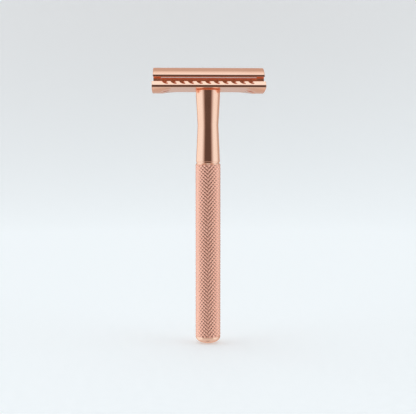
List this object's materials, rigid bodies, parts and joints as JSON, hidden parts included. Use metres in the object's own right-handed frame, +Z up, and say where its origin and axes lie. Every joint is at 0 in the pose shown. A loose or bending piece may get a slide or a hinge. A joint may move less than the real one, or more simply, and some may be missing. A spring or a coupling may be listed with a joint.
{
  "type": "safety razor",
  "caption": "Three-piece double-edge safety razor: curved cap, fluted guard plate and clamped blade on a knurled handle that unscrews to release them.",
  "frame": {"origin": "centre of the flat foot at the handle's lower end, below the handle's axis", "axes": "+Z up along the handle to the cap, +X along the cutting edges, -Y towards the viewer of the front guard bar"},
  "size_m": [0.0444, 0.0244, 0.1105],
  "materials": {
    "polished_plate": "polished rose-gold plate",
    "knurled_plate": "knurled rose-gold plate",
    "blade_steel": "ground stainless steel with honed edges",
    "bush_brass": "turned brass",
    "weight_steel": "turned steel"
  },
  "bodies": {
    "handle": {"neck": "polished_plate", "thread_bush": "bush_brass", "spacer_ring": "polished_plate", "grip_sleeve": "knurled_plate", "core_rod": "weight_steel", "end_cap": "polished_plate"},
    "guard_plate": {"base_plate": "polished_plate"},
    "cap": {"top_cap": "polished_plate", "threaded_stud": "polished_plate", "left_guide_pin": "polished_plate", "right_guide_pin": "polished_plate"},
    "blade": {"razor_blade": "blade_steel"}
  },
  "joints": [
    {"name": "handle_unscrew", "type": "hinge", "parent": "handle", "child": "guard_plate", "pos_m": [0, 0, 0.1016], "axis": [0, 0, 1], "range_deg": [0, 2880]},
    {"name": "cap_lift", "type": "slide", "parent": "guard_plate", "child": "cap", "axis": [0, 0, 1], "range_m": [0, 0.00641]},
    {"name": "blade_lift", "type": "slide", "parent": "guard_plate", "child": "blade", "axis": [0, 0, 1], "range_m": [0, 0.00321]}
  ],
  "couplings": [
    {"joint": "cap_lift", "follows": "handle_unscrew", "m_per_rad": 0.00012732},
    {"joint": "blade_lift", "follows": "handle_unscrew", "m_per_rad": 0.000063662}
  ]
}
